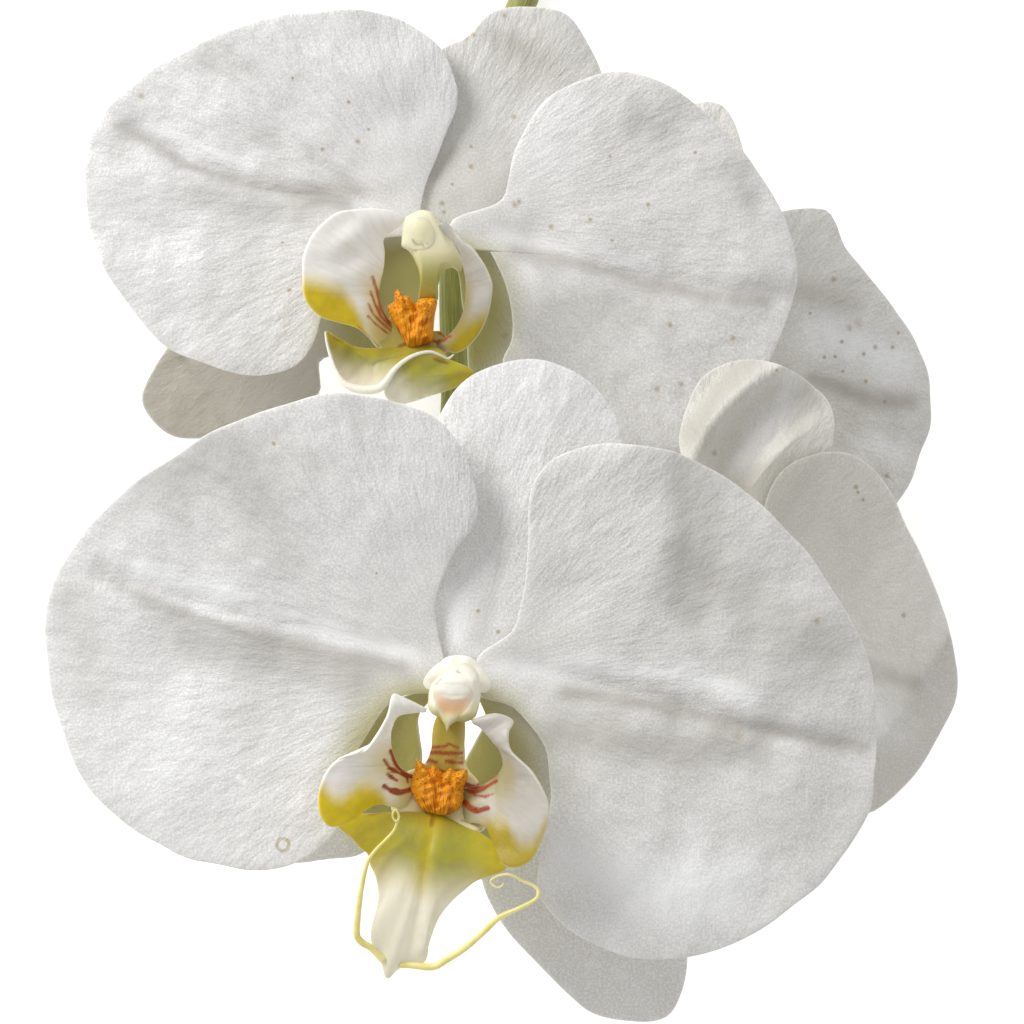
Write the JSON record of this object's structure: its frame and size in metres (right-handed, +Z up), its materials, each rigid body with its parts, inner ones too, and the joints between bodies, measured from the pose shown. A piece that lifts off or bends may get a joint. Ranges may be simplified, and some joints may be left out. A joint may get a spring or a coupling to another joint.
{
  "type": "moth orchid stem",
  "caption": "Cut moth orchid stem lying on a surface: a gently curved green stem with broad white blooms that face up, each with a yellow lip and a red-striped throat.",
  "frame": {"origin": "middle of the plant's footprint, on the surface that it lies on", "axes": "+Z up, out of the blooms' faces; +Y along the stem towards its cut end; +X to the right when the blooms are seen from above with the cut end away from the viewer"},
  "size_m": [0.1317, 0.3089, 0.0613],
  "materials": {
    "tepal": "waxy white petal with fine sparkling cells",
    "lip": "waxy, white to yellow with red-brown stripes at the throat",
    "callus": "warty orange with dark red specks",
    "column": "waxy cream white",
    "anther_cap": "waxy white, faintly pink",
    "stalk": "pale green, satin",
    "stem": "green, satin, with dry-edged bracts"
  },
  "bodies": {
    "root": {"stem": "stem", "a_stalk": "stalk", "a_dorsal_sepal": "tepal", "a_sepal_left": "tepal", "a_sepal_right": "tepal", "a_petal_left": "tepal", "a_petal_right": "tepal", "a_lip": "lip", "a_callus": "callus", "a_column": "column", "a_anther_cap": "anther_cap", "b_stalk": "stalk", "b_dorsal_sepal": "tepal", "b_sepal_left": "tepal", "b_sepal_right": "tepal", "b_petal_left": "tepal", "b_petal_right": "tepal", "b_lip": "lip", "b_callus": "callus", "b_column": "column", "b_anther_cap": "anther_cap", "c_stalk": "stalk", "c_dorsal_sepal": "tepal", "c_sepal_left": "tepal", "c_sepal_right": "tepal", "c_petal_left": "tepal", "c_petal_right": "tepal", "c_lip": "lip", "c_callus": "callus", "c_column": "column", "c_anther_cap": "anther_cap", "d_stalk": "stalk", "d_dorsal_sepal": "tepal", "d_sepal_left": "tepal", "d_sepal_right": "tepal", "d_petal_left": "tepal", "d_petal_right": "tepal", "d_lip": "lip", "d_callus": "callus", "d_column": "column", "d_anther_cap": "anther_cap"}
  },
  "joints": []
}
